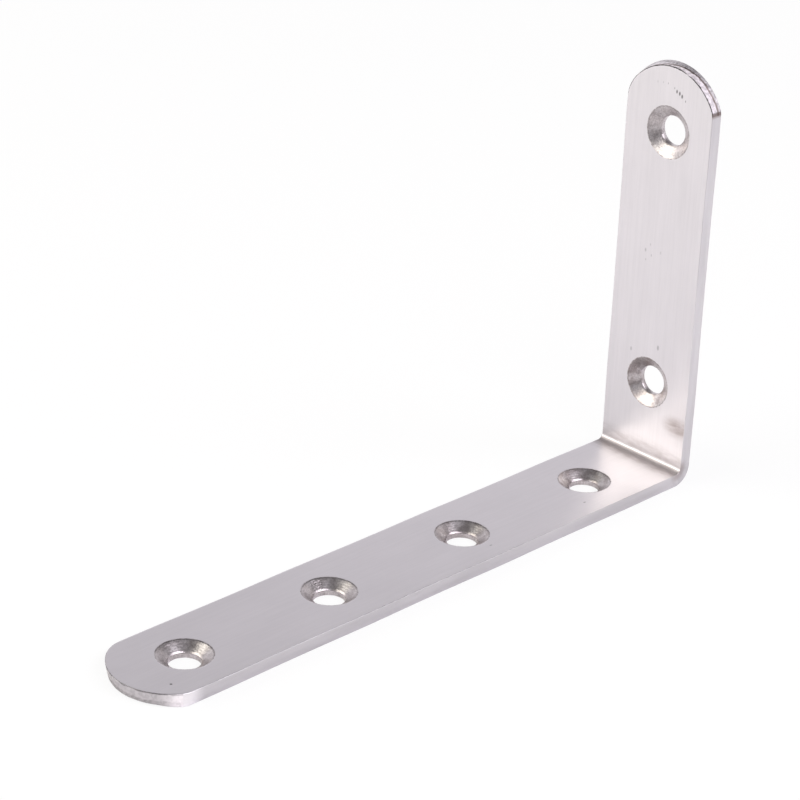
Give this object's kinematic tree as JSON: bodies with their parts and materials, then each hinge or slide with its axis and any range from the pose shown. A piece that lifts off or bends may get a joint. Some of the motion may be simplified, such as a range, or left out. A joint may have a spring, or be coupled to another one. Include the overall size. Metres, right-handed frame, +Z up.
{
  "type": "l-shaped corner brace",
  "caption": "Flat metal strip bent to a right angle, with rounded ends and countersunk screw holes along both unequal legs.",
  "frame": {"origin": "middle of the long leg's outer face, which is the bottom centre of the box round the brace", "axes": "+X along the long leg towards its tip, +Y across the strip, +Z up along the short leg"},
  "size_m": [0.1324, 0.02, 0.082],
  "materials": {
    "brushed_steel": "brushed along the strip, with satin countersinks and sheared ends"
  },
  "bodies": {
    "root": {"corner_brace": "brushed_steel"}
  },
  "joints": []
}
